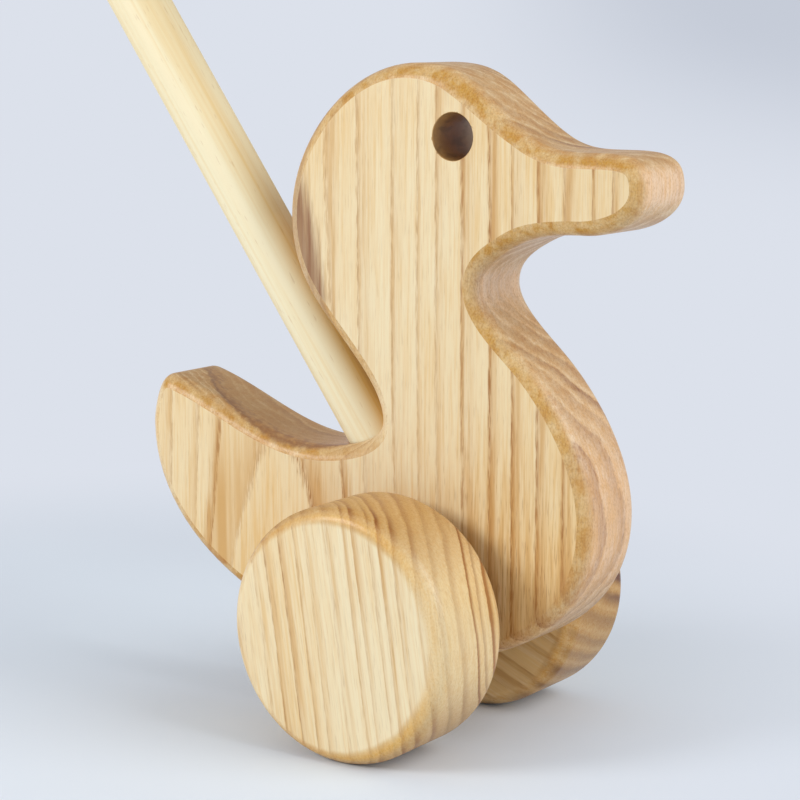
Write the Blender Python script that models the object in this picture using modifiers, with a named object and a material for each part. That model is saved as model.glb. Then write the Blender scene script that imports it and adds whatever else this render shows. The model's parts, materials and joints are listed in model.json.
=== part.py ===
"""Duck push toy: a duck cut from one thick board, on a turning wheelset, pushed by a slanted stick.

Metres, +Z up. The bill points to +X and the toy stands on its wheels at Z = 0.
"""

import math

import bmesh
import bpy
from mathutils import Vector

# Board that the duck is cut from
BOARD_THICKNESS = 0.028
EDGE_ROUND = 0.0045
OUTLINE_STEPS = 7
EDGE_STEPS = 2

# Duck's outline: where its parts lie from the axle's centre, +X forward and +Z up
EYE_FORWARD = 0.015
EYE_HEIGHT = 0.1404
BREAST_REACH = 0.0613
BREAST_HEIGHT = 0.032
BELLY_DROP = 0.015
TAIL_REACH = 0.100
TAIL_HEIGHT = 0.047
SADDLE_HEIGHT = 0.046

# Head, measured from the eye
EYE_DIAMETER = 0.0136
CROWN_BACK = 0.015
CROWN_RISE = 0.0206
FOREHEAD_FORWARD = 0.0155
FOREHEAD_RISE = 0.0066
BILL_LENGTH = 0.0612
BILL_DROP = 0.0134
BILL_TOP_DROP = 0.0034
BILL_UNDER_DROP = 0.0264
CHIN_FORWARD = 0.0185
CHIN_DROP = 0.0307
THROAT_FORWARD = 0.0077
THROAT_DROP = 0.0429
NAPE_LENGTH = 0.0596
NAPE_DROP = 0.025

# Bill, breast and tail, measured back from the bill's tip, the foremost breast and the rearmost tail
BILL_TOP_BACK = 0.021
BILL_UNDER_BACK = 0.0206
BREAST_SLOPE_BACK = 0.0206
BREAST_SLOPE_RISE = 0.0432
TAIL_CORNER_IN = 0.0016
TAIL_CORNER_RISE = 0.009
TAIL_TOP_IN = 0.0095
TAIL_TOP_RISE = 0.0158

# Wheelset
WHEEL_DIAMETER = 0.075
WHEEL_THICKNESS = 0.032
WHEEL_EDGE_ROUND = 0.0045
WHEEL_BORE_DEPTH = 0.022
AXLE_DIAMETER = 0.010
WASHER_DIAMETER = 0.024
WASHER_THICKNESS = 0.005

# Push stick and the ball on its end
STICK_DIAMETER = 0.018
STICK_LENGTH = 0.550
STICK_ANGLE = math.radians(54.7)
SOCKET_FORWARD = -0.0196
SOCKET_RISE = 0.002
SOCKET_DEPTH = 0.030
KNOB_DIAMETER = 0.040
KNOB_FLAT_DIAMETER = 0.026
KNOB_BORE_DEPTH = 0.024

# Fits: the axle runs free in the body and the washers, and the rest is glued
RUNNING_CLEARANCE = 0.0003
SIDE_PLAY = 0.00025
GLUE_GAP = 0.0003
END_CHAMFER = 0.001

# Facets
ROUND_STEPS = 48
DOWEL_STEPS = 32
ARC_STEPS = 4
WELD_DISTANCE = 0.00001
CUT_OVERRUN = 0.005
SHARP_ANGLE = math.radians(40)

# Where the pieces meet, from the axle's centre
AXLE_HEIGHT = WHEEL_DIAMETER / 2
WHEEL_INNER_FACE = BOARD_THICKNESS / 2 + WASHER_THICKNESS + 2 * SIDE_PLAY
AXLE_LENGTH = 2 * (WHEEL_INNER_FACE + WHEEL_BORE_DEPTH - GLUE_GAP)
STICK_WAY = Vector((-math.cos(STICK_ANGLE), 0, math.sin(STICK_ANGLE)))
SOCKET_MOUTH = Vector((SOCKET_FORWARD, 0, SADDLE_HEIGHT + SOCKET_RISE))
SOCKET_BOTTOM = SOCKET_MOUTH - SOCKET_DEPTH * STICK_WAY
STICK_FOOT = SOCKET_BOTTOM + GLUE_GAP * STICK_WAY
STICK_TOP = STICK_FOOT + STICK_LENGTH * STICK_WAY
KNOB_FLAT_DROP = math.sqrt(KNOB_DIAMETER**2 - KNOB_FLAT_DIAMETER**2) / 2
KNOB_CENTRE = STICK_TOP + (GLUE_GAP - KNOB_BORE_DEPTH + KNOB_FLAT_DROP) * STICK_WAY

# The toy's middle, front to back, is at X = 0
FRONT = EYE_FORWARD + BILL_LENGTH
REAR = KNOB_CENTRE.x - KNOB_DIAMETER / 2
AXLE_CENTRE = Vector((-(FRONT + REAR) / 2, 0, AXLE_HEIGHT))


def clear_scene():
    for obj in list(bpy.data.objects):
        bpy.data.objects.remove(obj, do_unlink=True)


def new_collection(name):
    collection = bpy.data.collections.new(name)
    bpy.context.scene.collection.children.link(collection)
    return collection


def wood(name, colour, roughness):
    """An oiled wood finish of one colour."""
    material = bpy.data.materials.new(name)
    material.use_nodes = True
    shader = material.node_tree.nodes["Principled BSDF"]
    shader.inputs["Base Color"].default_value = (*colour, 1)
    shader.inputs["Roughness"].default_value = roughness
    shader.inputs["Metallic"].default_value = 0
    return material


def new_empty(name, collection, location, parent=None):
    empty = bpy.data.objects.new(name, None)
    empty.location = location
    empty.parent = parent
    collection.objects.link(empty)
    return empty


def add_piece(name, mesh, material, collection, parent):
    mesh.materials.append(material)
    mesh.shade_smooth()
    mesh.set_sharp_from_angle(angle=SHARP_ANGLE)
    piece = bpy.data.objects.new(name, mesh)
    piece.parent = parent
    collection.objects.link(piece)
    return piece


def duck_knots():
    """Knots of the duck's outline: X, Z, heading in degrees, and the reach of the handles before and after."""
    eye_x, eye_z = EYE_FORWARD, EYE_HEIGHT
    tip_x = eye_x + BILL_LENGTH
    crown = (eye_x - CROWN_BACK, eye_z + CROWN_RISE, 0, 0.0228, 0.0155)
    forehead = (eye_x + FOREHEAD_FORWARD, eye_z + FOREHEAD_RISE, -39, 0.015, 0.0125)
    bill_top = (tip_x - BILL_TOP_BACK, eye_z - BILL_TOP_DROP, 0, 0.0105, 0.013)
    bill_tip = (tip_x, eye_z - BILL_DROP, -90, 0.0108, 0.0085)
    bill_under = (tip_x - BILL_UNDER_BACK, eye_z - BILL_UNDER_DROP, 180, 0.0095, 0.012)
    chin = (eye_x + CHIN_FORWARD, eye_z - CHIN_DROP, 208, 0.0055, 0.006)
    throat = (eye_x + THROAT_FORWARD, eye_z - THROAT_DROP, -90, 0.006, 0.0072)
    slope_x, slope_z = BREAST_REACH - BREAST_SLOPE_BACK, BREAST_HEIGHT + BREAST_SLOPE_RISE
    breast_slope = (slope_x, slope_z, -46, 0.0095, 0.0155)
    breast = (BREAST_REACH, BREAST_HEIGHT, -90, 0.016, 0.029)
    belly = (-0.008, -BELLY_DROP, 180, 0.041, 0.043)
    tail_end = (-TAIL_REACH, TAIL_HEIGHT, 90, 0.0385, 0.003)
    tail_corner = (-TAIL_REACH + TAIL_CORNER_IN, TAIL_HEIGHT + TAIL_CORNER_RISE, 72, 0.003, 0.0043)
    tail_top = (-TAIL_REACH + TAIL_TOP_IN, TAIL_HEIGHT + TAIL_TOP_RISE, -15, 0.0045, 0.0185)
    saddle = (SOCKET_FORWARD - 0.0164, SADDLE_HEIGHT, 0, 0.020, 0.008)
    notch = (SOCKET_FORWARD + 0.0083, SADDLE_HEIGHT + 0.010, 90, 0.0075, 0.0063)
    neck = (SOCKET_FORWARD - 0.0021, SADDLE_HEIGHT + 0.0284, 131, 0.0068, 0.017)
    nape = (eye_x - NAPE_LENGTH, eye_z - NAPE_DROP, 90, 0.0195, 0.0235)
    head = [crown, forehead, bill_top, bill_tip, bill_under, chin, throat]
    return head + [breast_slope, breast, belly, tail_end, tail_corner, tail_top, saddle, notch, neck, nape]


def duck_curve(collection):
    """The outline as a filled 2D curve, as thick as the board, with its edges rounded over."""
    curve = bpy.data.curves.new("duck_outline", "CURVE")
    curve.dimensions = "2D"
    curve.fill_mode = "BOTH"
    curve.resolution_u = OUTLINE_STEPS
    curve.extrude = BOARD_THICKNESS / 2 - EDGE_ROUND
    curve.bevel_depth = EDGE_ROUND
    curve.bevel_resolution = EDGE_STEPS
    curve.offset = -EDGE_ROUND
    knots = duck_knots()
    spline = curve.splines.new("BEZIER")
    spline.bezier_points.add(len(knots) - 1)
    spline.use_cyclic_u = True
    for point, (x, z, heading, before, after) in zip(spline.bezier_points, knots):
        way = Vector((math.cos(math.radians(heading)), math.sin(math.radians(heading)), 0))
        point.handle_left_type = "ALIGNED"
        point.handle_right_type = "ALIGNED"
        point.co = (x, z, 0)
        point.handle_left = point.co - before * way
        point.handle_right = point.co + after * way
    outline = bpy.data.objects.new("duck_outline", curve)
    outline.rotation_euler.x = math.pi / 2
    collection.objects.link(outline)
    return outline


def mesh_from_curve(curve):
    """The curve's mesh with its caps welded on, as a closed body in the world's axes. The curve is removed."""
    bpy.context.view_layer.update()
    evaluated = curve.evaluated_get(bpy.context.evaluated_depsgraph_get())
    mesh = bpy.data.meshes.new_from_object(evaluated)
    mesh.transform(curve.matrix_world)
    bpy.data.objects.remove(curve, do_unlink=True)
    shape = bmesh.new()
    shape.from_mesh(mesh)
    bmesh.ops.remove_doubles(shape, verts=shape.verts, dist=WELD_DISTANCE)
    bmesh.ops.recalc_face_normals(shape, faces=shape.faces)
    shape.to_mesh(mesh)
    shape.free()
    mesh.materials.clear()
    return mesh


def round_cutter(name, collection, parent, diameter, length, centre, way):
    """A drill: a cylinder along way, kept out of renders."""
    mesh = bpy.data.meshes.new(name)
    shape = bmesh.new()
    radius = diameter / 2
    bmesh.ops.create_cone(
        shape, cap_ends=True, segments=ROUND_STEPS, radius1=radius, radius2=radius, depth=length
    )
    shape.to_mesh(mesh)
    shape.free()
    cutter = bpy.data.objects.new(name, mesh)
    cutter.rotation_euler = way.to_track_quat("Z", "Y").to_euler()
    cutter.location = centre
    cutter.parent = parent
    cutter.hide_render = True
    cutter.display_type = "WIRE"
    collection.objects.link(cutter)
    return cutter


def cut(piece, cutter):
    modifier = piece.modifiers.new(cutter.name, "BOOLEAN")
    modifier.operation = "DIFFERENCE"
    modifier.solver = "EXACT"
    modifier.object = cutter


def arc(centre_r, centre_z, radius, first, last, steps):
    """Points of a turned profile's round, from the first angle to the last, in degrees from +R."""
    angles = [math.radians(first + (last - first) * i / steps) for i in range(steps + 1)]
    return [(centre_r + radius * math.cos(a), centre_z + radius * math.sin(a)) for a in angles]


def turned(name, profile, steps, material, collection, parent, closed=False):
    """A turned piece about its own Z: the profile's points are radius and height, outer side top to bottom."""
    mesh = bpy.data.meshes.new(name)
    shape = bmesh.new()
    points = [shape.verts.new((r, 0, z)) for r, z in profile]
    for a, b in zip(points, points[1:]):
        shape.edges.new((a, b))
    if closed:
        shape.edges.new((points[-1], points[0]))
    shape.to_mesh(mesh)
    shape.free()
    piece = add_piece(name, mesh, material, collection, parent)
    screw = piece.modifiers.new("turn", "SCREW")
    screw.axis = "Z"
    screw.steps = steps
    screw.render_steps = steps
    screw.use_merge_vertices = True
    screw.merge_threshold = WELD_DISTANCE
    screw.use_smooth_shade = True
    return piece


def dowel_profile(diameter, length):
    """A dowel with both ends chamfered, centred on its length."""
    radius = diameter / 2
    half = length / 2
    upper = [(0, half), (radius - END_CHAMFER, half), (radius, half - END_CHAMFER)]
    return upper + [(r, -z) for r, z in reversed(upper)]


def wheel_profile():
    """A disc from its outer face down to its inner face, rounded at both edges, with a blind bore."""
    radius = WHEEL_DIAMETER / 2
    bore = AXLE_DIAMETER / 2 + GLUE_GAP
    inner_round = radius - WHEEL_EDGE_ROUND
    outer_edge = arc(inner_round, WHEEL_THICKNESS - WHEEL_EDGE_ROUND, WHEEL_EDGE_ROUND, 90, 0, ARC_STEPS)
    inner_edge = arc(inner_round, WHEEL_EDGE_ROUND, WHEEL_EDGE_ROUND, 0, -90, ARC_STEPS)
    blind_bore = [(bore, 0), (bore, WHEEL_BORE_DEPTH), (0, WHEEL_BORE_DEPTH)]
    return [(0, WHEEL_THICKNESS)] + outer_edge + inner_edge + blind_bore


def washer_profile():
    outer = WASHER_DIAMETER / 2
    bore = AXLE_DIAMETER / 2 + RUNNING_CLEARANCE
    half = WASHER_THICKNESS / 2
    top = [(bore, half), (outer - END_CHAMFER, half), (outer, half - END_CHAMFER)]
    return top + [(r, -z) for r, z in reversed(top)]


def knob_profile():
    """A ball with a flat below, where a blind bore takes the stick."""
    radius = KNOB_DIAMETER / 2
    bore = STICK_DIAMETER / 2 + GLUE_GAP
    flat_angle = -math.degrees(math.asin(KNOB_FLAT_DROP / radius))
    ball = arc(0, 0, radius, 90, flat_angle, 3 * ARC_STEPS)
    bore_top = KNOB_BORE_DEPTH - KNOB_FLAT_DROP
    return [(0, radius)] + ball[1:] + [(bore, -KNOB_FLAT_DROP), (bore, bore_top), (0, bore_top)]


def build_duck(parts, cutters, parent, ash):
    body = add_piece("duck_body", mesh_from_curve(duck_curve(cutters)), ash, parts, parent)
    across = Vector((0, 1, 0))
    through = BOARD_THICKNESS + 2 * CUT_OVERRUN
    eye_centre = Vector((EYE_FORWARD, 0, EYE_HEIGHT))
    bore = AXLE_DIAMETER + 2 * RUNNING_CLEARANCE
    socket = STICK_DIAMETER + 2 * GLUE_GAP
    socket_centre = SOCKET_BOTTOM + STICK_LENGTH / 2 * STICK_WAY
    cut(body, round_cutter("eye_drill", cutters, parent, EYE_DIAMETER, through, eye_centre, across))
    cut(body, round_cutter("axle_drill", cutters, parent, bore, through, Vector(), across))
    cut(body, round_cutter("socket_drill", cutters, parent, socket, STICK_LENGTH, socket_centre, STICK_WAY))


def build_wheelset(parts, parent, ash, axle_wood):
    axle = turned("axle", dowel_profile(AXLE_DIAMETER, AXLE_LENGTH), DOWEL_STEPS, axle_wood, parts, parent)
    axle.rotation_euler.x = math.pi / 2
    for name, side in (("right_wheel", -1), ("left_wheel", 1)):
        wheel = turned(name, wheel_profile(), ROUND_STEPS, ash, parts, parent)
        wheel.rotation_euler.x = -side * math.pi / 2
        wheel.location.y = side * WHEEL_INNER_FACE


def build_washers(parts, parent, washer_wood):
    for name, side in (("right_washer", -1), ("left_washer", 1)):
        washer = turned(name, washer_profile(), DOWEL_STEPS, washer_wood, parts, parent, closed=True)
        washer.rotation_euler.x = math.pi / 2
        washer.location.y = side * (BOARD_THICKNESS / 2 + SIDE_PLAY + WASHER_THICKNESS / 2)


def build_stick(parts, parent, birch, knob_wood):
    lean = STICK_WAY.to_track_quat("Z", "Y").to_euler()
    stick = turned("push_stick", dowel_profile(STICK_DIAMETER, STICK_LENGTH), DOWEL_STEPS, birch, parts, parent)
    stick.rotation_euler = lean
    stick.location = (STICK_FOOT + STICK_TOP) / 2
    knob = turned("grip_knob", knob_profile(), DOWEL_STEPS, knob_wood, parts, parent)
    knob.rotation_euler = lean
    knob.location = KNOB_CENTRE


def main():
    clear_scene()
    parts = new_collection("duck_push_toy")
    cutters = new_collection("cutters")
    duck = new_empty("duck", parts, AXLE_CENTRE)
    wheelset = new_empty("wheelset", parts, AXLE_CENTRE)
    ash = wood("oiled_ash", (0.76, 0.58, 0.34), 0.5)
    birch = wood("pale_birch", (0.86, 0.72, 0.46), 0.55)
    axle_wood = wood("axle_birch", (0.80, 0.66, 0.42), 0.55)
    washer_wood = wood("washer_birch", (0.74, 0.58, 0.36), 0.55)
    knob_wood = wood("knob_ash", (0.74, 0.56, 0.33), 0.5)
    build_duck(parts, cutters, duck, ash)
    build_washers(parts, duck, washer_wood)
    build_stick(parts, duck, birch, knob_wood)
    build_wheelset(parts, wheelset, ash, axle_wood)
    bpy.context.view_layer.update()


main()
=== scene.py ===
# %% [markdown]
# # A wooden duck on wheels, with a stick to push it
# The toy is a duck sawn from one thick ash board, with a drilled hole for an eye. Two turned
# wheels on a hidden axle carry it, and a plain stick with a ball on its end pushes it along.
# The frame already holds every piece at its real size, as coarse solids. This lesson makes the
# fine surface of each piece around that frame, and then the wood that they are cut from.

# %% Load the frame
import json
import math
import random

import bmesh
import bpy
from mathutils import Matrix, Vector
from mathutils.geometry import interpolate_bezier


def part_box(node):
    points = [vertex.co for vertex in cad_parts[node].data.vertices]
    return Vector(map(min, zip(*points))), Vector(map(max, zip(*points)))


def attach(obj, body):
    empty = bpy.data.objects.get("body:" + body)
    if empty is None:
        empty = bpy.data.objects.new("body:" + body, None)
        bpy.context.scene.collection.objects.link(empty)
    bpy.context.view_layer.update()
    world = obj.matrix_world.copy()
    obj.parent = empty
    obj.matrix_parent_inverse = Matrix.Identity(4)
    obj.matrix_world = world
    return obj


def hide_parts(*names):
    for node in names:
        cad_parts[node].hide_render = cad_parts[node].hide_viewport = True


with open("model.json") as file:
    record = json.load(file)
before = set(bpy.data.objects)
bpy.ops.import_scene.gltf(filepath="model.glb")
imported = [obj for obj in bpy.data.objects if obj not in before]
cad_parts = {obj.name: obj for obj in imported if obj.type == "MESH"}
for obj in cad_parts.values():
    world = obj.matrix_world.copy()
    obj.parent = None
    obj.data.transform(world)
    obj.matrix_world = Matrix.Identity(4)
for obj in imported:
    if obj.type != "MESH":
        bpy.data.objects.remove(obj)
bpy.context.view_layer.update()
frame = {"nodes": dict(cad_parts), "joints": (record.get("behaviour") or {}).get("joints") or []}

print("pieces in the frame:", sorted(frame["nodes"]))

# %% [markdown]
# ## Sizes that come from the frame
# A maker measures the blank before cutting it. Here the axle, the board and the wheels are read
# from the frame, so that each fine piece lands exactly where its coarse solid is. All places are
# then counted from the middle of the axle, because the whole toy is laid out around it.

# %% Measure the frame
MM = 0.001
AXLE = Vector(frame["joints"][0]["pos_m"])
_, board_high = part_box("duck_body")
wheel_low, wheel_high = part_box("left_wheel")
washer_low, washer_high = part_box("left_washer")
axle_low, axle_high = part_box("axle")
stick_low, stick_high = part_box("push_stick")

HALF_BOARD = board_high.y
WHEEL_RADIUS = (wheel_high.z - wheel_low.z) / 2
WHEEL_INNER_FACE = wheel_low.y
WHEEL_OUTER_FACE = wheel_high.y
AXLE_RADIUS = (axle_high.z - axle_low.z) / 2
STICK_RADIUS = (stick_high.y - stick_low.y) / 2
print(f"board {2000 * HALF_BOARD:.1f} mm thick, wheels {2000 * WHEEL_RADIUS:.1f} mm across")

# %% [markdown]
# ## The camera
# The picture was taken from the front right of the duck, a little above it and quite near, so
# near things look larger. A camera is placed by the point it looks at, two angles and a distance.
# Its lens follows from how many picture widths fit into that distance.

# %% Set up the camera
LOOK_AT = AXLE + Vector((-12.6 * MM, 0, 60.4 * MM))
AZIMUTH = math.radians(34.47)
ELEVATION = math.radians(9.35)
CAMERA_DISTANCE = 0.6773
PICTURE_WIDTHS_AWAY = 2.8159
SENSOR = 36
NEAREST_SEEN = 0.01

toward_camera = Vector((
    math.sin(AZIMUTH) * math.cos(ELEVATION),
    -math.cos(AZIMUTH) * math.cos(ELEVATION),
    math.sin(ELEVATION),
))
picture_right = Vector((math.cos(AZIMUTH), math.sin(AZIMUTH), 0))
picture_up = toward_camera.cross(picture_right)

camera_data = bpy.data.cameras.new("camera")
camera_data.sensor_width = SENSOR
camera_data.lens = SENSOR * PICTURE_WIDTHS_AWAY
camera_data.clip_start = NEAREST_SEEN
camera = bpy.data.objects.new("camera", camera_data)
camera.location = LOOK_AT + CAMERA_DISTANCE * toward_camera
camera.rotation_euler = toward_camera.to_track_quat("Z", "Y").to_euler()
bpy.context.scene.collection.objects.link(camera)
bpy.context.scene.camera = camera
print(f"lens {camera_data.lens:.1f} mm, {CAMERA_DISTANCE} m from the duck")

# %% [markdown]
# ## A skin over rings of points
# The board with its routed edge and every turned piece have one thing in common: they are rows
# of points, one ring after another. One helper can therefore skin them all with faces, and close
# the first and the last ring with a flat face. Rings that meet at a crease stay crisp, because
# edges sharper than a small angle are marked, and everything else is shaded smooth.

# %% Skin rings with faces
CREASE = math.radians(9)


def skin(name, rings, hoop=False):
    """A mesh over rings that all have as many points. A hoop joins its last ring to its first."""
    count = len(rings[0])
    points = [point for ring in rings for point in ring]
    rows = [(row, row + 1) for row in range(len(rings) - 1)]
    if hoop:
        rows.append((len(rings) - 1, 0))
    faces = []
    for row, following in rows:
        here, there = row * count, following * count
        for i in range(count):
            j = (i + 1) % count
            faces.append((here + i, here + j, there + j, there + i))
    if not hoop:
        faces.append(tuple(reversed(range(count))))
        faces.append(tuple(range(len(points) - count, len(points))))
    mesh = bpy.data.meshes.new(name)
    mesh.from_pydata(points, [], faces)
    mesh.update()
    return mesh


def smooth_with_creases(mesh):
    mesh.shade_smooth()
    mesh.set_sharp_from_angle(angle=CREASE)


def add_object(name, mesh, place=Matrix.Identity(4)):
    piece = bpy.data.objects.new(name, mesh)
    piece.matrix_world = place
    bpy.context.scene.collection.objects.link(piece)
    return piece


print(f"skins crease at {math.degrees(CREASE):.0f} degrees")

# %% [markdown]
# ## Turned pieces
# Wheels, washers, axle, stick and ball all come off a lathe. On a lathe the shape is a profile: a
# radius for each place along the axis. Each profile point becomes one ring of the skin. Every
# profile here runs from the top of the piece down its outside, which makes the faces look out.

# %% Turn a profile
LATHE_STEPS = 144


def turned(name, profile, steps=LATHE_STEPS, hoop=False):
    """A piece turned about its own Z axis, from (radius, height) points."""
    angles = [2 * math.pi * i / steps for i in range(steps)]
    circle = [(math.cos(a), -math.sin(a)) for a in angles]
    rings = [[(r * c, r * s, h) for c, s in circle] for r, h in profile]
    mesh = skin(name, rings, hoop)
    smooth_with_creases(mesh)
    return mesh


def arc(centre, radius, first, last, steps):
    """Points on a circle around (radius, height), between two angles in degrees from straight out."""
    turns = [math.radians(first + (last - first) * i / steps) for i in range(steps + 1)]
    return [(centre[0] + radius * math.cos(t), centre[1] + radius * math.sin(t)) for t in turns]


def mirrored(profile):
    """The same profile with its lower half added, upside down."""
    return profile + [(r, -h) for r, h in reversed(profile)]


print("lathe ready,", LATHE_STEPS, "steps a turn")

# %% [markdown]
# ## The duck's outline
# The saw followed a drawn line. A designer draws such a line with a few knots: a place, the
# heading of the line there, and how far each handle reaches. Places are metres forward of the
# axle and above it. The knots are the same as in the solid, and more steps make it smooth.

# %% Draw the outline
EYE_FORWARD, EYE_HEIGHT = 0.015, 0.1404
BREAST_REACH, BREAST_HEIGHT = 0.0613, 0.032
BELLY_DROP = 0.015
TAIL_REACH, TAIL_HEIGHT = 0.100, 0.047
SADDLE_HEIGHT = 0.046
SOCKET_FORWARD = -0.0196
BILL_REACH = EYE_FORWARD + 0.0612
OUTLINE_STEPS = 26

OUTLINE_KNOTS = {
    "crown": (EYE_FORWARD - 0.015, EYE_HEIGHT + 0.0206, 0, 0.0228, 0.0155),
    "forehead": (EYE_FORWARD + 0.0155, EYE_HEIGHT + 0.0066, -39, 0.015, 0.0125),
    "bill top": (BILL_REACH - 0.021, EYE_HEIGHT - 0.0034, 0, 0.0105, 0.013),
    "bill tip": (BILL_REACH, EYE_HEIGHT - 0.0134, -90, 0.0108, 0.0085),
    "bill under": (BILL_REACH - 0.0206, EYE_HEIGHT - 0.0264, 180, 0.0095, 0.012),
    "chin": (EYE_FORWARD + 0.0185, EYE_HEIGHT - 0.0307, 208, 0.0055, 0.006),
    "throat": (EYE_FORWARD + 0.0077, EYE_HEIGHT - 0.0429, -90, 0.006, 0.0072),
    "breast slope": (BREAST_REACH - 0.0206, BREAST_HEIGHT + 0.0432, -46, 0.0095, 0.0155),
    "breast": (BREAST_REACH, BREAST_HEIGHT, -90, 0.016, 0.029),
    "belly": (-0.008, -BELLY_DROP, 180, 0.041, 0.043),
    "tail end": (-TAIL_REACH, TAIL_HEIGHT, 90, 0.0385, 0.003),
    "tail corner": (-TAIL_REACH + 0.0016, TAIL_HEIGHT + 0.009, 72, 0.003, 0.0043),
    "tail top": (-TAIL_REACH + 0.0095, TAIL_HEIGHT + 0.0158, -15, 0.0045, 0.0185),
    "saddle": (SOCKET_FORWARD - 0.0164, SADDLE_HEIGHT, 0, 0.020, 0.008),
    "notch": (SOCKET_FORWARD + 0.0083, SADDLE_HEIGHT + 0.010, 90, 0.0075, 0.0063),
    "neck": (SOCKET_FORWARD - 0.0021, SADDLE_HEIGHT + 0.0284, 131, 0.0068, 0.017),
    "nape": (EYE_FORWARD - 0.0596, EYE_HEIGHT - 0.025, 90, 0.0195, 0.0235),
}


def outline_points():
    """The outline as (forward, up) points, clockwise when the bill points right."""
    knots = list(OUTLINE_KNOTS.values())
    points = []
    for start, end in zip(knots, knots[1:] + knots[:1]):
        leave, arrive = math.radians(start[2]), math.radians(end[2])
        first, last = Vector(start[:2]), Vector(end[:2])
        handle_out = first + start[4] * Vector((math.cos(leave), math.sin(leave)))
        handle_in = last - end[3] * Vector((math.cos(arrive), math.sin(arrive)))
        points += interpolate_bezier(first, handle_out, handle_in, last, OUTLINE_STEPS + 1)[:-1]
    return points


outline = outline_points()
outline_length = sum((a - b).length for a, b in zip(outline, outline[1:] + outline[:1]))
print(f"{len(OUTLINE_KNOTS)} knots, {len(outline)} points, {outline_length * 1000:.0f} mm around")

# %% [markdown]
# ## The board with its routed edge
# After sawing, a round-over bit runs along both edges. Its bearing is never set perfectly, so the
# round meets the flat face at a small angle, and light catches a crisp line there. Sanding by hand
# then makes that line wander a little. It took more off the crown, and at the lower breast it wore
# the line away. A bevel tool would give a perfect round, so the round is built here as rings of the
# outline, each moved inwards by what was taken off there.

# %% Rout the edges
EDGE_DEPTH = 4.9 * MM
EDGE_INSET = 4.2 * MM
EDGE_STEPS = 12
EDGE_CREASE = math.radians(13)
SANDING_WANDER = 0.025
SANDING_WAVES = (3, 7, 12, 19)
SANDING_SEED = 5

# Places along the outline are shares of its points, counted from the crown.
CROWN_SHARE, CROWN_SPREAD, CROWN_EXTRA = 0.034, 0.045, 0.42
WORN_SHARE, WORN_SPREAD = 0.505, 0.05

hand = random.Random(SANDING_SEED)
sanding_phases = [hand.uniform(0, 2 * math.pi) for _ in SANDING_WAVES]


def hump(share, middle, spread):
    """1 at a middle place along the outline, easing to 0 at a spread away on both sides."""
    away = abs((share - middle + 0.5) % 1 - 0.5)
    return 0.5 + 0.5 * math.cos(math.pi * min(1, away / spread))


def sanded(share):
    """How much wider or narrower the round is, a share of the way along the outline."""
    waves = zip(SANDING_WAVES, sanding_phases)
    wander = SANDING_WANDER * sum(math.sin(2 * math.pi * n * share + p) for n, p in waves) / 2
    return 1 + wander + CROWN_EXTRA * hump(share, CROWN_SHARE, CROWN_SPREAD)


def round_over(inset, depth, crease):
    """How far in, and how far down from the flat face, each ring of a round lies."""
    widest = math.pi / 2 - crease
    turns = [widest * (1 - i / EDGE_STEPS) for i in range(EDGE_STEPS + 1)]
    insets = [inset * (1 - math.cos(t)) / (1 - math.cos(widest)) for t in turns]
    drops = [depth * (1 - math.sin(t) / math.sin(widest)) for t in turns]
    return list(zip(insets, drops))


def routed_edge(share):
    """The router's round, as sanding left it a share of the way along the outline."""
    crease = EDGE_CREASE * (1 - hump(share, WORN_SHARE, WORN_SPREAD))
    return round_over(EDGE_INSET * sanded(share), EDGE_DEPTH, crease)


def routed_rings():
    """Rings of the outline from the near face to the widest place, each moved in by its inset."""
    rings = [[] for _ in range(EDGE_STEPS + 1)]
    count = len(outline)
    for i, point in enumerate(outline):
        along = (outline[(i + 1) % count] - outline[i - 1]).normalized()
        inward = Vector((along.y, -along.x))
        for ring, (inset, drop) in zip(rings, routed_edge(i / count)):
            place = point + inset * inward
            ring.append((place.x, drop - HALF_BOARD, place.y))
    return rings


near_rings = routed_rings()
far_rings = [[(x, -y, z) for x, y, z in ring] for ring in reversed(near_rings)]
duck_mesh = skin("duck_board", near_rings + far_rings)
duck = add_object("duck_board", duck_mesh, Matrix.Translation(AXLE))
print(f"routed board: {len(duck_mesh.vertices)} points, {len(duck_mesh.polygons)} faces")

# %% [markdown]
# ## Three drilled holes
# The eye goes right through, and so does the cross hole for the axle. The third hole is blind and
# slanted: the push stick is glued into it. A Boolean does what a drill does. The eye's drill has a
# small flare at both faces, where sandpaper has eased the rim.

# %% Drill the eye, the axle hole and the socket
EYE_RADIUS = 6.8 * MM
EYE_EASE = 0.2 * MM
AXLE_CLEARANCE = 0.3 * MM
STICK_ANGLE = math.radians(54.7)
STICK_LENGTH = 0.550
SOCKET_RISE = 2 * MM
SOCKET_DEPTH = 30 * MM
GLUE_GAP = 0.3 * MM
DRILL_OVERRUN = 4 * MM

STICK_LEAN = math.pi / 2 - STICK_ANGLE
stick_way = Vector((-math.cos(STICK_ANGLE), 0, math.sin(STICK_ANGLE)))
socket_mouth = AXLE + Vector((SOCKET_FORWARD, 0, SADDLE_HEIGHT + SOCKET_RISE))
socket_bottom = socket_mouth - SOCKET_DEPTH * stick_way
along_stick = stick_way.to_track_quat("Z", "Y").to_matrix().to_4x4()
across_board = Matrix.Rotation(math.pi / 2, 4, "X")


def drill(piece, name, profile, place):
    """Cut a turned shape out of a piece, as a drill would."""
    bit = add_object(name, turned(name, profile), place)
    cut = piece.modifiers.new(name, "BOOLEAN")
    cut.operation = "DIFFERENCE"
    cut.solver = "EXACT"
    cut.object = bit
    bpy.context.view_layer.update()
    evaluated = piece.evaluated_get(bpy.context.evaluated_depsgraph_get())
    drilled = bpy.data.meshes.new_from_object(evaluated)
    piece.modifiers.clear()
    piece.data = drilled
    bpy.data.objects.remove(bit, do_unlink=True)
    print(f"{name}: {len(drilled.polygons)} faces")


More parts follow.
